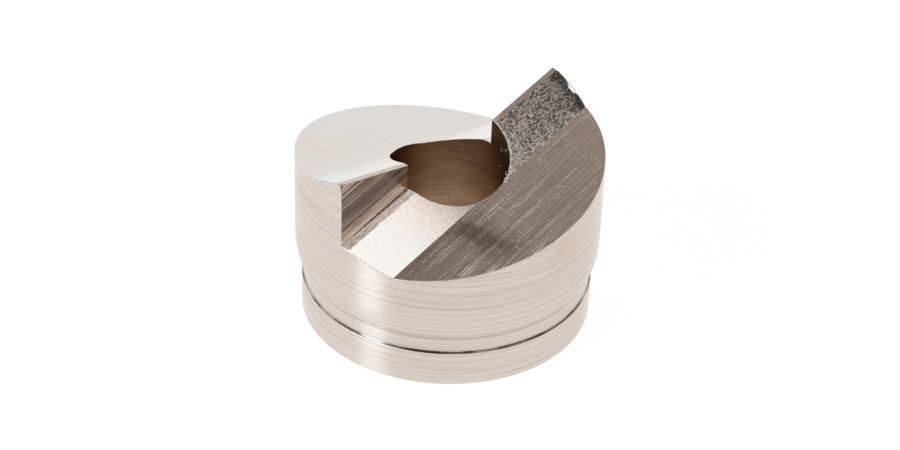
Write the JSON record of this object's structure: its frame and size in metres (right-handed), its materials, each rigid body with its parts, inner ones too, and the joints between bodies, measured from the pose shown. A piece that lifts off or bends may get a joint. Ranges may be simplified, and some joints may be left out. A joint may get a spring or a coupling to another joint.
{
  "type": "knockout punch",
  "caption": "One-piece round sheet-metal knockout punch: two slanted cutting halves that end in upright walls, a smooth through bore and a stepped base band.",
  "frame": {"origin": "middle of the flat base, on the bore's axis", "axes": "+Z along the bore, the way the punch cuts; the cut across the top runs along X, with one tip at +X and the other at -X"},
  "size_m": [0.0746, 0.0746, 0.0507],
  "materials": {
    "plated_steel": "nickel-plated tool steel: fine turned rings outside, straight cutter lines across the top, oily brown bore, worn cutting edge"
  },
  "bodies": {
    "root": {"punch": "plated_steel"}
  },
  "joints": []
}
